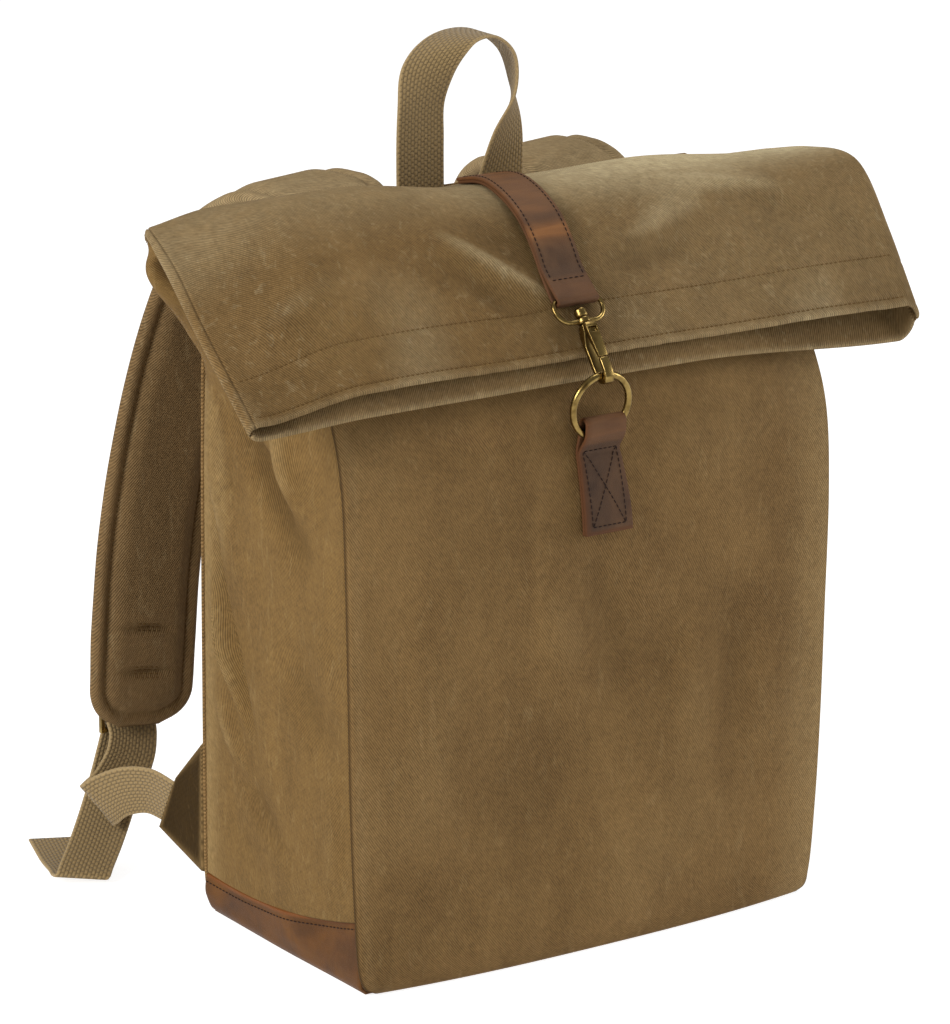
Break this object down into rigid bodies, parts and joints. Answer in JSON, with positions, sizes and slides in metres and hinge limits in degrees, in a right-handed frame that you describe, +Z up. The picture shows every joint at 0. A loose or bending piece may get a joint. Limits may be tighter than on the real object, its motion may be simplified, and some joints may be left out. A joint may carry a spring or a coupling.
{
  "type": "roll-top backpack",
  "caption": "Upright waxed canvas backpack with a wide roll top folded forward under a leather strap with a brass snap hook and ring; padded shoulder straps, webbing handle, leather base.",
  "frame": {"origin": "centre of the flat leather base, on the floor", "axes": "+Z up; -Y towards the front face with the clasp; +X to the right of someone who looks at the front"},
  "size_m": [0.4276, 0.298, 0.4741],
  "materials": {
    "waxed_canvas": "waxed olive brown twill with pale rub marks",
    "cotton_webbing": "coarse olive cotton webbing",
    "brown_leather": "oiled dark brown, worn reddish, raw tan edges",
    "antique_brass": "antique brass, dark in its corners"
  },
  "bodies": {
    "bag": {"front_panel": "waxed_canvas", "back_panel": "waxed_canvas", "gusset_left": "waxed_canvas", "gusset_right": "waxed_canvas", "leather_base": "brown_leather", "flap_outer": "waxed_canvas", "flap_inner": "waxed_canvas", "closure_strap": "brown_leather", "clasp_loop": "antique_brass", "hook_body": "antique_brass", "ring": "antique_brass", "ring_tab": "brown_leather", "carry_handle": "cotton_webbing", "shoulder_pad_left": "waxed_canvas", "shoulder_pad_right": "waxed_canvas", "adjuster_web_left": "cotton_webbing", "adjuster_web_right": "cotton_webbing", "slider_left": "antique_brass", "slider_right": "antique_brass", "slider_loop_left": "cotton_webbing", "slider_loop_right": "cotton_webbing", "strap_wing_left": "waxed_canvas", "strap_wing_right": "waxed_canvas"},
    "gate": {"hook_gate": "antique_brass"}
  },
  "joints": [
    {"name": "gate_hinge", "type": "hinge", "parent": "bag", "child": "gate", "pos_m": [-0.0045, -0.07907, 0.34107], "axis": [1, 0, 0], "range_deg": [0, 20], "stiffness_Nm_per_rad": 0.03, "springref_deg": -17.19}
  ]
}
